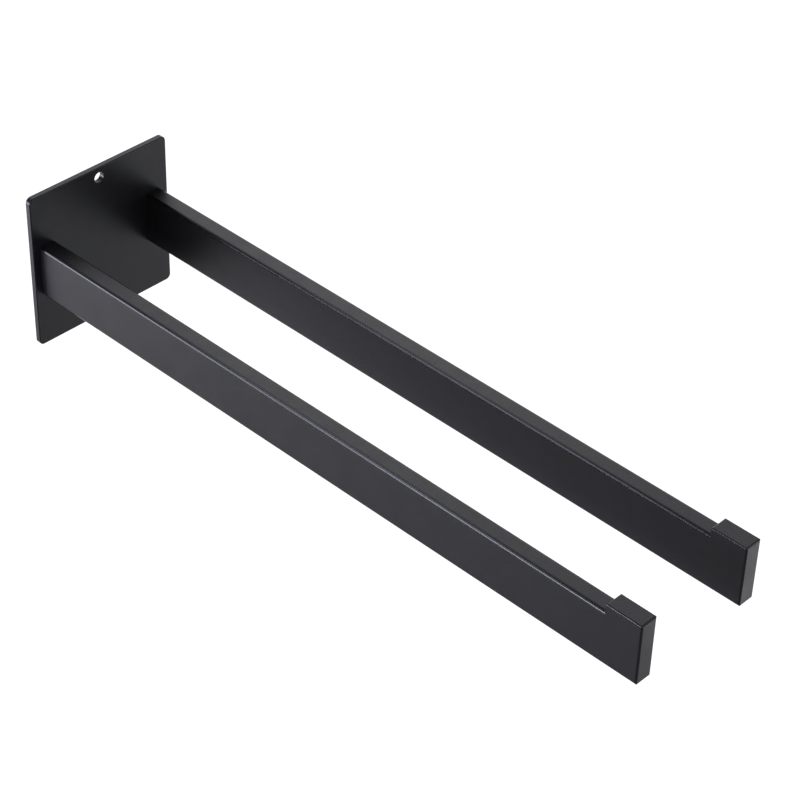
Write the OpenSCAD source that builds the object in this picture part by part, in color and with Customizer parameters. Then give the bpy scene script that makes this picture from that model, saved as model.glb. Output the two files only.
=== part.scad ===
// Double towel rail: a square wall plate that carries two parallel rectangular tubes,
// each closed at its tip by a block whose raised lip keeps the towel on.
// Frame: the wall plane is y = 0, the rails run towards -Y, +Z is up and the origin
// is the middle of the plate's back face. Left and right are as seen facing the wall.

/* [Wall plate] */
// Width of the wall plate
plate_w = 90; // [84:1:140]
// Height of the wall plate
plate_h = 90; // [76:1:160]
// Thickness of the wall plate
plate_t = 3; // [3:0.5:6]
// Radius of the plate's four corners
plate_corner_r = 3; // [2:0.5:8]
// Radius rolled onto the plate's outer front edge by the coating
plate_edge_r = 0.5; // [0.2:0.1:1]

/* [Wall screw holes] */
// Diameter of the two holes for the screws into the wall
wall_hole_d = 6; // [4:0.5:8]
// Distance from the plate's top or bottom edge to the middle of a hole
wall_hole_edge = 6; // [5:0.5:12]

/* [Rails] */
// Depth of the whole rail, from the wall to the tips
overall_depth = 400; // [250:5:600]
// Height of a rail tube
rail_h = 30; // [26:1:45]
// Width of a rail tube
rail_w = 10; // [9:0.5:14]
// Wall thickness of a rail tube
rail_wall = 1.5; // [1:0.1:1.7]
// Outer radius of a rail tube's long edges
rail_edge_r = 1.8; // [1.8:0.1:3]
// Distance from the plate's side edge to a rail's outer face
rail_inset = 4.5; // [2:0.5:12]

/* [End stops] */
// Length of the end block that shows past the tube
stop_length = 20; // [10:1:40]
// Height of the lip above the rail's top face
stop_rise = 4.5; // [2:0.5:12]
// Radius of the lip's upper edges
lip_edge_r = 0.7; // [0.3:0.1:1.5]
// Radius of the edges round the end face
tip_edge_r = 1; // [0.3:0.1:1.5]
// Length of the spigot inside the tube
spigot_length = 15; // [8:1:30]

/* [Root plugs] */
// Length of the tapped plug inside the tube, at the plate
plug_length = 20; // [16:1:40]

/* [Rail screws] */
// Thread diameter of the screws that hold a rail to the plate
screw_d = 4; // [3:0.5:4]
// Length of those screws over their countersunk head
screw_length = 16; // [10:1:18]
// Pitch of their thread
screw_pitch = 0.7; // [0.5:0.1:1]
// Diameter of their countersunk head
head_d = 7.6; // [6.5:0.1:8]
// Distance from a rail's top or bottom face to the middle of a screw
screw_edge = 8; // [6.5:0.5:9]
// Width across flats of the hexagon socket
socket_af = 2.5; // [1.5:0.5:2.5]
// Depth of the hexagon socket
socket_depth = 1.5; // [0.8:0.1:1.8]

/* [Fits] */
// Gap on each side of a plug, spigot or screw
fit_gap = 0.05; // [0.02:0.01:0.1]
// Radial clearance of a screw in the plate
plate_gap = 0.2; // [0.1:0.05:0.3]

/* [Hidden] */
$fn = 64;

// Straight rim at the widest part of a countersunk head
head_rim = 0.2;
// How far a head sits below the plate's back face
head_recess = 0.15;
// Depth of a thread groove
thread_depth = 0.35;
// Plain length of shank under the head
plain_shank = 1;
// Cone at a screw's far end
screw_point = 0.5;
// How far a cut runs past the face that it opens
overrun = 1;

left = -1;
right = 1;
upper = 1;
lower = -1;

rail_length = overall_depth - plate_t - stop_length;
stop_back_y = -(plate_t + rail_length);
rail_x = plate_w / 2 - rail_inset - rail_w / 2;
rail_size = [rail_w, rail_h];
bore_size = [rail_w - 2 * rail_wall, rail_h - 2 * rail_wall];
insert_size = [bore_size.x - 2 * fit_gap, bore_size.y - 2 * fit_gap];
bore_r = rail_edge_r - rail_wall;
stop_h = rail_h + stop_rise;
wall_hole_z = plate_h / 2 - wall_hole_edge;
rail_screw_z = rail_h / 2 - screw_edge;
head_cone = (head_d - screw_d) / 2;

coat_colour = "#1c1c1e";
plug_colour = "#8d9093";
screw_colour = "#b9bcc0";

// A rectangle with its lower left corner at the origin and a radius on each corner, listed
// anticlockwise from there; a radius of 0 leaves that corner square
module rounded_rectangle(size, radii) {
    corners = [[0, 0], [size.x, 0], size, [0, size.y]];
    inwards = [[1, 1], [-1, 1], [-1, -1], [1, -1]];
    rounded = [for (i = [0 : len(radii) - 1]) if (radii[i] > 0) i];
    difference() {
        square(size);
        for (i = rounded) translate(corners[i]) square(2 * radii[i], center = true);
    }
    for (i = rounded) translate(corners[i] + radii[i] * inwards[i]) circle(radii[i]);
}

// The cross-section of a tube, its bore or what fits in it, about the rail's middle
module rail_section(size, corner_r) {
    translate(-size / 2) rounded_rectangle(size, [corner_r, corner_r, corner_r, corner_r]);
}

// Extrudes an outline drawn in x and z from the plane y = from_y, for length towards -Y
module towards_tip(from_y, length) {
    translate([0, from_y, 0]) rotate([90, 0, 0]) linear_extrude(length) children();
}

// Places a piece of one rail
module at_rail(side) {
    translate([side * rail_x, 0, 0]) children();
}

// Cross-section of the plate's rim, out from the middle of a corner, with its front edge rolled
module rim_section() {
    rounded_rectangle([plate_corner_r, plate_t], [0, 0, plate_edge_r, 0]);
}

// One straight side of the plate's rim, length long, lying along x
module rim_side(length) {
    rotate([90, 0, 90]) linear_extrude(length, center = true) rim_section();
}

// The bare plate: its middle, four straight rims and four round corners
module plate_blank() {
    inner_w = plate_w - 2 * plate_corner_r;
    inner_h = plate_h - 2 * plate_corner_r;
    rotate([90, 0, 0]) {
        translate([-inner_w / 2, -inner_h / 2, 0]) cube([inner_w, inner_h, plate_t]);
        for (turn = [0, 180]) rotate([0, 0, turn]) {
            translate([0, inner_h / 2, 0]) rim_side(inner_w);
            translate([inner_w / 2, 0, 0]) rotate([0, 0, -90]) rim_side(inner_h);
            translate([inner_w / 2, inner_h / 2, 0])
                rotate_extrude(angle = 90) rim_section();
            translate([-inner_w / 2, inner_h / 2, 0]) rotate([0, 0, 90])
                rotate_extrude(angle = 90) rim_section();
        }
    }
}

// Places a cut or a screw on each of a rail's two screw axes
module at_rail_screw(side, level) {
    translate([side * rail_x, 0, level * rail_screw_z]) rotate([90, 0, 0]) children();
}

// Countersunk hole for a rail screw, drawn along +Z from the plate's back face
module rail_screw_hole() {
    hole_r = screw_d / 2 + plate_gap;
    seat_r = head_d / 2 + fit_gap;
    rim = head_recess + head_rim;
    rotate_extrude() polygon([
        [0, -overrun], [seat_r, -overrun], [seat_r, rim],
        [hole_r, rim + seat_r - hole_r], [hole_r, plate_t + overrun], [0, plate_t + overrun]
    ]);
}

module wall_plate() {
    color(coat_colour) difference() {
        plate_blank();
        for (level = [upper, lower])
            translate([0, overrun, level * wall_hole_z]) rotate([90, 0, 0])
                cylinder(d = wall_hole_d, h = plate_t + 2 * overrun);
        for (side = [left, right], level = [upper, lower])
            at_rail_screw(side, level) rail_screw_hole();
    }
}

module rail_tube(side) {
    color(coat_colour) at_rail(side) towards_tip(-plate_t, rail_length) difference() {
        rail_section(rail_size, rail_edge_r);
        rail_section(bore_size, bore_r);
    }
}

// The end block seen from the tip: the tube's outline, grown upwards by the lip
module stop_front() {
    towards_tip(stop_back_y, stop_length) translate(-rail_size / 2)
        rounded_rectangle([rail_w, stop_h], [rail_edge_r, rail_edge_r, lip_edge_r, lip_edge_r]);
}

// The end block seen from the right, from the tip back to the tube
module stop_side() {
    translate([-rail_w, -overall_depth, -rail_h / 2]) rotate([90, 0, 90])
        linear_extrude(2 * rail_w)
            rounded_rectangle([stop_length, stop_h], [tip_edge_r, 0, lip_edge_r, tip_edge_r]);
}

// The end block seen from above
module stop_plan() {
    translate([-rail_w / 2, -overall_depth, -stop_h]) linear_extrude(2 * stop_h)
        rounded_rectangle([rail_w, stop_length], [tip_edge_r, tip_edge_r, 0, 0]);
}

// What fits into the tube's end, from the plane y = from_y towards the tip
module tube_insert(from_y, length) {
    towards_tip(from_y, length) rail_section(insert_size, bore_r);
}

module end_stop(side) {
    color(coat_colour) at_rail(side) {
        intersection() {
            stop_front();
            stop_side();
            stop_plan();
        }
        tube_insert(stop_back_y + spigot_length, spigot_length);
    }
}

module root_plug(side) {
    color(plug_colour) difference() {
        at_rail(side) tube_insert(-plate_t, plug_length);
        for (level = [upper, lower])
            at_rail_screw(side, level)
                cylinder(d = screw_d + 2 * fit_gap, h = plate_t + plug_length + overrun);
    }
}

// Half outline of a rail screw, drawn along +Z with its head at the plate's back face
module screw_outline() {
    shank_r = screw_d / 2;
    root_r = shank_r - thread_depth;
    neck = head_rim + head_cone;
    thread_start = neck + plain_shank;
    thread_end = screw_length - screw_point;
    turns = floor((thread_end - thread_start) / screw_pitch);
    polygon(concat(
        [[0, 0], [head_d / 2, 0], [head_d / 2, head_rim], [shank_r, neck]],
        [for (turn = [0 : turns - 1]) each [
            [shank_r, thread_start + turn * screw_pitch],
            [root_r, thread_start + (turn + 0.5) * screw_pitch]
        ]],
        [[shank_r, thread_start + turns * screw_pitch], [shank_r, thread_end],
         [root_r, screw_length], [0, screw_length]]
    ));
}

module rail_screw(side, level) {
    color(screw_colour) at_rail_screw(side, level) translate([0, 0, head_recess]) difference() {
        rotate_extrude() screw_outline();
        translate([0, 0, -overrun]) linear_extrude(overrun + socket_depth)
            circle(r = socket_af / 2 / cos(30), $fn = 6);
    }
}

wall_plate();
rail_tube(left);  // left_rail_tube
rail_tube(right);  // right_rail_tube
end_stop(left);  // left_end_stop
end_stop(right);  // right_end_stop
root_plug(left);  // left_root_plug
root_plug(right);  // right_root_plug
rail_screw(left, upper);  // left_upper_rail_screw
rail_screw(left, lower);  // left_lower_rail_screw
rail_screw(right, upper);  // right_upper_rail_screw
rail_screw(right, lower);  // right_lower_rail_screw
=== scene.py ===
"""The looks of the double towel rail: its finishes, studio light, floor and camera."""
import math

import bpy
from mathutils import Matrix, Vector

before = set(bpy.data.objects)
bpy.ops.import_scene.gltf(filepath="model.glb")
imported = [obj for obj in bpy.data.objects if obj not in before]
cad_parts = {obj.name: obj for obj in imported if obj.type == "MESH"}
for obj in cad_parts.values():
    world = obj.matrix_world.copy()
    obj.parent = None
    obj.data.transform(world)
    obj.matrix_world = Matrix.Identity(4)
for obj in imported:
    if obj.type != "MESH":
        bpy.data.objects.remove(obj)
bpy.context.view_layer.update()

# One millimetre, in the scene's metres
MM = 0.001

# The photograph's frame and the lens that gives its perspective
PHOTO_PX = 800
FOCAL_PX = 2490
SENSOR_MM = 36

# Where the camera stands, and how it is turned in degrees
CAMERA_PLACE_MM = (-670.4, -849.5, 732.8)
CAMERA_AZIMUTH = -46.73
CAMERA_ELEVATION = 37.89
CAMERA_ROLL = 1.79

# The coat: its colours, the tint of its gloss, and the refractive index of polyester resin
COAT_COLOURS = ("#060607", "#09090a")
COAT_GLOSS = "#eef0ff"
COAT_IOR = 1.5
# Its roughness on flats, how far the shinier and duller patches move it, and what an edge keeps of it
COAT_ROUGHNESS = 0.42
COAT_ROUGHNESS_SWING = 0.03
EDGE_ROUGHNESS_SHARE = 0.5
# How wide its faint clouds and its shinier patches are
COAT_CLOUD_MM = 5
COAT_PATCH_MM = 9
# Its orange peel
PEEL_MM = 2.2
PEEL_DEPTH_MM = 0.002
# Its grain. A real one is too fine to show, so it is drawn several times as wide and deep
GRAIN_MM = 0.55
GRAIN_DEPTH_MM = 0.09
# How much of the grain shows on the other faces and on those that look up
GRAIN_SHOWN = (0.01, 1.0)
# How straight up a face looks as the grain comes in
UP_FROM = (0.98, 1.0)
# How square to an axis a face is as it goes from an edge to a flat
FLAT_FROM = (0.93, 0.995)

# Zinc plating: a cold white and a passivated blue, and how wide the blue patches and dull spots are
ZINC_COLOURS = ("#c9cbcd", "#b3bbc8")
ZINC_ROUGHNESS = (0.2, 0.36)
ZINC_PATCH_MM = 1.6
ZINC_SPOT_MM = 0.8
# The dents of barrel tumbling, drawn coarser than they are
DENT_MM = 0.5
DENT_DEPTH_MM = 0.004

# Drawn bar: a plain grey and a brown of oxide, and how wide the brown patches are
STEEL_COLOURS = ("#93959a", "#857f78")
STEEL_ROUGHNESS = (0.34, 0.5)
OXIDE_PATCH_MM = 6
# The die's lines, drawn coarser than they are, and how many times as long as wide they run
DIE_LINE_MM = 0.4
DIE_LINE_DEPTH_MM = 0.006
DIE_LINE_STRETCH = 20

# Noise keeps near its middle, so this stretch of it is used as all of it
NOISE_MIDDLE = (0.3, 0.7)
# How many layers a noise has: in the coat's bumps, in dents and lines, in patches and in clouds
SMOOTH = 1
FINE = 2
PATCHY = 3
CLOUDY = 4
# A Mix node's colour sockets share their names with its other sockets, so they go by number
MIX_FROM = 6
MIX_TO = 7
MIX_RESULT = 2

# The floor lies well below the rail, so the rail's shadow on it is wide and soft
FLOOR_Z_MM = -620
FLOOR_SIZE_MM = 8000
FLOOR_GREY = "#a0a0a0"
# The floor shows white behind the rail: from the first distance to the second, measured away from
# the camera, it goes from its own tone to white
WHITE_BEHIND_MM = (-30, 200)
# What that adds to the floor's own tone, where 1 is white
FLOOR_LIFT = 0.85
# How far out the floor starts to fade into the surround, and where it is gone
FLOOR_FADE_MM = (1500, 3600)

# The surround's light, as surfaces receive it
AMBIENT = 0.65
# Its looks, as the camera and gloss see them, on the camera's side and behind the rail
SURROUND_SHOWN = (0.22, 1.0)
# Between these shares of straight away from the camera, it goes from the one to the other
SURROUND_TURN = (0.1, 0.6)

# The lamps' colours: a faint violet from the left, almost none from above
WHITE = "#ffffff"
COOL = "#f2f0ff"
PALE = "#fbfaff"
WARM = "#fefcf8"

# Each softbox: its name, its place and what it faces in millimetres, its width and height in
# millimetres, the brightness of its face, where 1 is the white of the surround, and its colour
SOFTBOXES = (
    # Low strips on the left, which draw the thin highlights on the rails' upper edges
    ("left_strip", (-625, 180, -30), (0, 0, 0), (900, 160), 5.7, PALE),
    ("left_strip_mid", (-670, 20, -30), (0, -200, 0), (300, 160), 6.0, PALE),
    ("left_strip_tip", (-700, -200, -30), (0, -380, 0), (260, 160), 8.8, PALE),
    ("left_edge_strip", (-640, 190, 80), (0, -150, 10), (640, 130), 3.8, PALE),
    # Boxes on the left, for the rails' sides
    ("left_low", (-560, 470, -180), (0, -60, 0), (290, 200), 8.5, COOL),
    ("left_floor", (-500, 130, -500), (0, -300, 0), (400, 400), 0.22, COOL),
    ("left_high", (-560, 180, 430), (0, -200, 0), (300, 250), 5.5, COOL),
    # Boxes behind and above, for the rails' tops
    ("overhead_rear", (-150, 260, 740), (0, -200, 0), (300, 300), 1.7, WARM),
    ("right_high", (424, 240, 520), (0, -200, 0), (310, 310), 1.15, WARM),
    ("right_high_root", (370, 560, 520), (0, -60, 0), (310, 310), 0.5, WARM),
    ("right_rear", (720, 200, 250), (0, -200, 0), (320, 320), 0.6, WARM),
    # Boxes in front on the right, for the plate and the ends of the tips
    ("front_high", (450, -800, 100), (0, -20, 0), (280, 280), 2.1, WHITE),
    ("front_far", (640, -800, -250), (0, -400, 0), (300, 300), 0.5, WHITE),
    ("front_tips", (400, -750, -350), (0, -400, 0), (200, 200), 2.6, WHITE),
)


def linear(hex_colour):
    """The linear RGBA of an sRGB hex colour."""
    channels = [int(hex_colour[i:i + 2], 16) / 255 for i in (1, 3, 5)]
    turned = [c / 12.92 if c <= 0.04045 else ((c + 0.055) / 1.055) ** 2.4 for c in channels]
    return (*turned, 1.0)


def add_node(tree, kind, settings=None, links=None):
    """Adds a node to a tree. Settings name a property or an input socket and its value;
    links name an input socket and the output socket that feeds it."""
    node = tree.nodes.new(kind)
    for name, value in (settings or {}).items():
        if hasattr(node, str(name)):
            setattr(node, name, value)
        else:
            node.inputs[name].default_value = value
    for name, source in (links or {}).items():
        tree.links.new(source, node.inputs[name])
    return node


def new_material(name):
    """A node material with nothing in it yet, and its tree."""
    material = bpy.data.materials.new(name)
    material.use_nodes = True
    material.node_tree.nodes.clear()
    return material, material.node_tree


def from_to(start_end, low_high):
    """The settings with which a Map Range node turns start into low and end into high."""
    return {"From Min": start_end[0], "From Max": start_end[1],
            "To Min": low_high[0], "To Max": low_high[1]}


def softly(start_end, low_high):
    """The same, easing in and out."""
    return {"interpolation_type": "SMOOTHSTEP", **from_to(start_end, low_high)}


def patches(tree, place, patch_mm, layers, low_high):
    """A value from low to high, in soft patches about patch_mm across."""
    noise = add_node(tree, "ShaderNodeTexNoise", {"Scale": 1 / (patch_mm * MM), "Detail": layers},
                     {"Vector": place})
    return add_node(tree, "ShaderNodeMapRange", from_to(NOISE_MIDDLE, low_high),
                    {"Value": noise.outputs["Fac"]}).outputs["Result"]


def mottle(tree, place, patch_mm, layers, colours):
    """A colour that goes from the one to the other in soft patches about patch_mm across."""
    return add_node(tree, "ShaderNodeMix",
                    {"data_type": "RGBA", MIX_FROM: linear(colours[0]), MIX_TO: linear(colours[1])},
                    {"Factor": patches(tree, place, patch_mm, layers, (0, 1))}).outputs[MIX_RESULT]


def relief(tree, place, bump_mm, depth_mm, layers, links=None):
    """The normal of a surface with soft bumps about bump_mm across and at most depth_mm deep."""
    noise = add_node(tree, "ShaderNodeTexNoise", {"Scale": 1 / (bump_mm * MM), "Detail": layers},
                     {"Vector": place})
    return add_node(tree, "ShaderNodeBump", {"Strength": 1.0, "Distance": depth_mm * MM},
                    {"Height": noise.outputs["Fac"], **(links or {})}).outputs["Normal"]


def satin_black_powder_coat():
    """Polyester powder baked on steel. It is near black with a cold cast and faintly clouded. It
    has a slight orange peel under a grain that shows on the faces that look up, patches that shine
    a little more or less, and a smoother skin where it draws thin over an edge."""
    material, tree = new_material("satin_black_powder_coat")
    coordinates = add_node(tree, "ShaderNodeTexCoord")
    place, normal = coordinates.outputs["Object"], coordinates.outputs["Normal"]
    colour = mottle(tree, place, COAT_CLOUD_MM, CLOUDY, COAT_COLOURS)

    peel = relief(tree, place, PEEL_MM, PEEL_DEPTH_MM, SMOOTH)
    up = add_node(tree, "ShaderNodeSeparateXYZ", links={"Vector": normal}).outputs["Z"]
    shown = add_node(tree, "ShaderNodeMapRange", softly(UP_FROM, GRAIN_SHOWN), {"Value": up})
    grain = relief(tree, place, GRAIN_MM, GRAIN_DEPTH_MM, SMOOTH,
                   {"Normal": peel, "Strength": shown.outputs["Result"]})

    facing = add_node(tree, "ShaderNodeVectorMath", {"operation": "ABSOLUTE"}, {0: normal})
    axes = add_node(tree, "ShaderNodeSeparateXYZ", links={"Vector": facing.outputs["Vector"]})
    square = axes.outputs["X"]
    for axis in "YZ":
        square = add_node(tree, "ShaderNodeMath", {"operation": "MAXIMUM"},
                          {0: square, 1: axes.outputs[axis]}).outputs["Value"]
    kept = add_node(tree, "ShaderNodeMapRange", from_to(FLAT_FROM, (EDGE_ROUGHNESS_SHARE, 1.0)),
                    {"Value": square})
    swing = (COAT_ROUGHNESS - COAT_ROUGHNESS_SWING, COAT_ROUGHNESS + COAT_ROUGHNESS_SWING)
    roughness = add_node(tree, "ShaderNodeMath", {"operation": "MULTIPLY"},
                         {0: patches(tree, place, COAT_PATCH_MM, PATCHY, swing),
                          1: kept.outputs["Result"]})

    shader = add_node(tree, "ShaderNodeBsdfPrincipled",
                      {"IOR": COAT_IOR, "Specular Tint": linear(COAT_GLOSS)},
                      {"Base Color": colour, "Roughness": roughness.outputs["Value"], "Normal": grain})
    add_node(tree, "ShaderNodeOutputMaterial", links={"Surface": shader.outputs["BSDF"]})
    return material


def bright_zinc_plating():
    """Bright zinc on a screw. It is a cold white metal with faint blue patches where it was
    passivated, duller spots, and the small dents of tumbling in a barrel."""
    material, tree = new_material("bright_zinc_plating")
    place = add_node(tree, "ShaderNodeTexCoord").outputs["Object"]
    shader = add_node(tree, "ShaderNodeBsdfPrincipled", {"Metallic": 1.0},
                      {"Base Color": mottle(tree, place, ZINC_PATCH_MM, PATCHY, ZINC_COLOURS),
                       "Roughness": patches(tree, place, ZINC_SPOT_MM, PATCHY, ZINC_ROUGHNESS),
                       "Normal": relief(tree, place, DENT_MM, DENT_DEPTH_MM, FINE)})
    add_node(tree, "ShaderNodeOutputMaterial", links={"Surface": shader.outputs["BSDF"]})
    return material


def bright_drawn_steel():
    """Drawn steel bar. It is grey with a brown breath of oxide, and the die left it fine lines
    along the bar, which shine more or less."""
    material, tree = new_material("bright_drawn_steel")
    place = add_node(tree, "ShaderNodeTexCoord").outputs["Object"]
    along = add_node(tree, "ShaderNodeMapping", {"Scale": (1, 1 / DIE_LINE_STRETCH, 1)},
                     {"Vector": place}).outputs["Vector"]
    shader = add_node(tree, "ShaderNodeBsdfPrincipled", {"Metallic": 1.0},
                      {"Base Color": mottle(tree, place, OXIDE_PATCH_MM, CLOUDY, STEEL_COLOURS),
                       "Roughness": patches(tree, along, DIE_LINE_MM, FINE, STEEL_ROUGHNESS),
                       "Normal": relief(tree, along, DIE_LINE_MM, DIE_LINE_DEPTH_MM, FINE)})
    add_node(tree, "ShaderNodeOutputMaterial", links={"Surface": shader.outputs["BSDF"]})
    return material


def dress(node_names, material):
    """Gives each named node one finish all over."""
    for name in node_names:
        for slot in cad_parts[name].material_slots:
            slot.material = material


def seen(tree):
    """1 for the rays that show a background: the camera's, a gloss's and a clear material's."""
    path = add_node(tree, "ShaderNodeLightPath")
    shine = add_node(tree, "ShaderNodeMath", {"operation": "MAXIMUM"},
                     {0: path.outputs["Is Camera Ray"], 1: path.outputs["Is Glossy Ray"]})
    return add_node(tree, "ShaderNodeMath", {"operation": "MAXIMUM"},
                    {0: shine.outputs["Value"], 1: path.outputs["Is Transmission Ray"]}).outputs["Value"]


def pale_floor():
    """A plain pale floor. It shows white behind the rail and fades into the surround far off."""
    material, tree = new_material("pale_floor")
    place = add_node(tree, "ShaderNodeTexCoord").outputs["Object"]
    away = add_node(tree, "ShaderNodeSeparateXYZ", links={"Vector": place}).outputs["Y"]
    white = add_node(tree, "ShaderNodeMapRange",
                     softly([distance * MM for distance in WHITE_BEHIND_MM], (0, FLOOR_LIFT)),
                     {"Value": away})
    lift = add_node(tree, "ShaderNodeMath", {"operation": "MULTIPLY"},
                    {0: white.outputs["Result"], 1: seen(tree)})
    own = add_node(tree, "ShaderNodeBsdfDiffuse", {"Color": linear(FLOOR_GREY)})
    light = add_node(tree, "ShaderNodeEmission", links={"Strength": lift.outputs["Value"]})
    lit = add_node(tree, "ShaderNodeAddShader",
                   links={0: own.outputs["BSDF"], 1: light.outputs["Emission"]})
    far = add_node(tree, "ShaderNodeVectorMath", {"operation": "LENGTH"}, {0: place}).outputs["Value"]
    gone = add_node(tree, "ShaderNodeMapRange",
                    softly([distance * MM for distance in FLOOR_FADE_MM], (0, 1)), {"Value": far})
    clear = add_node(tree, "ShaderNodeBsdfTransparent")
    faded = add_node(tree, "ShaderNodeMixShader",
                     links={"Fac": gone.outputs["Result"], 1: lit.outputs["Shader"],
                            2: clear.outputs["BSDF"]})
    add_node(tree, "ShaderNodeOutputMaterial", links={"Surface": faded.outputs["Shader"]})
    return material


def make_floor():
    """The floor under the rail, turned so that its own Y runs straight away from the camera."""
    half = FLOOR_SIZE_MM * MM / 2
    mesh = bpy.data.meshes.new("floor")
    mesh.from_pydata([(-half, -half, 0), (half, -half, 0), (half, half, 0), (-half, half, 0)],
                     [], [(0, 1, 2, 3)])
    mesh.materials.append(pale_floor())
    floor = bpy.data.objects.new("floor", mesh)
    floor.location = (0, 0, FLOOR_Z_MM * MM)
    floor.rotation_euler.z = math.radians(CAMERA_AZIMUTH)
    bpy.context.scene.collection.objects.link(floor)


def make_world():
    """A plain surround: white behind the rail, dimmer on the camera's side, even as a light."""
    world = bpy.data.worlds.new("studio")
    bpy.context.scene.world = world
    world.use_nodes = True
    tree = world.node_tree
    tree.nodes.clear()
    direction = add_node(tree, "ShaderNodeTexCoord").outputs["Generated"]
    turn = math.radians(CAMERA_AZIMUTH)
    camera_heading = (-math.sin(turn), math.cos(turn), 0)
    away = add_node(tree, "ShaderNodeVectorMath", {"operation": "DOT_PRODUCT", 1: camera_heading},
                    {0: direction})
    shown = add_node(tree, "ShaderNodeMapRange", softly(SURROUND_TURN, SURROUND_SHOWN),
                     {"Value": away.outputs["Value"]})
    strength = add_node(tree, "ShaderNodeMix", {"A": AMBIENT},
                        {"Factor": seen(tree), "B": shown.outputs["Result"]})
    background = add_node(tree, "ShaderNodeBackground", {"Color": linear(WHITE)},
                          {"Strength": strength.outputs["Result"]})
    add_node(tree, "ShaderNodeOutputWorld", links={"Surface": background.outputs["Background"]})


def make_softbox(name, place_mm, aim_mm, size_mm, brightness, colour):
    """A rectangular area lamp at a place, turned to face another. It is hidden from the camera."""
    lamp = bpy.data.lights.new(name, "AREA")
    lamp.shape = "RECTANGLE"
    lamp.size, lamp.size_y = (side * MM for side in size_mm)
    # The lamp's power is spread over its face and over the half of space in front of it
    lamp.energy = brightness * lamp.size * lamp.size_y * math.pi
    lamp.color = linear(colour)[:3]
    box = bpy.data.objects.new(name, lamp)
    place = Vector(place_mm) * MM
    box.location = place
    box.rotation_euler = (Vector(aim_mm) * MM - place).to_track_quat("-Z", "Y").to_euler()
    box.visible_camera = False
    bpy.context.scene.collection.objects.link(box)


def make_camera():
    """The camera at the photograph's place and angle."""
    lens = bpy.data.cameras.new("camera")
    lens.sensor_width = SENSOR_MM
    lens.lens = FOCAL_PX * SENSOR_MM / PHOTO_PX
    camera = bpy.data.objects.new("camera", lens)
    turn = Matrix.Rotation(math.radians(CAMERA_AZIMUTH), 4, "Z")
    tilt = Matrix.Rotation(math.radians(90 - CAMERA_ELEVATION), 4, "X")
    roll = Matrix.Rotation(math.radians(CAMERA_ROLL), 4, "Z")
    camera.matrix_world = Matrix.Translation(Vector(CAMERA_PLACE_MM) * MM) @ turn @ tilt @ roll
    bpy.context.scene.collection.objects.link(camera)
    bpy.context.scene.camera = camera


bpy.context.scene.view_settings.view_transform = "Standard"
make_camera()
make_floor()
make_world()
for softbox in SOFTBOXES:
    make_softbox(*softbox)

screws = [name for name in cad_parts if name.endswith("screw")]
plugs = [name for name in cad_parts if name.endswith("plug")]
coated = [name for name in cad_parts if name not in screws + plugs]
dress(coated, satin_black_powder_coat())
dress(screws, bright_zinc_plating())
dress(plugs, bright_drawn_steel())
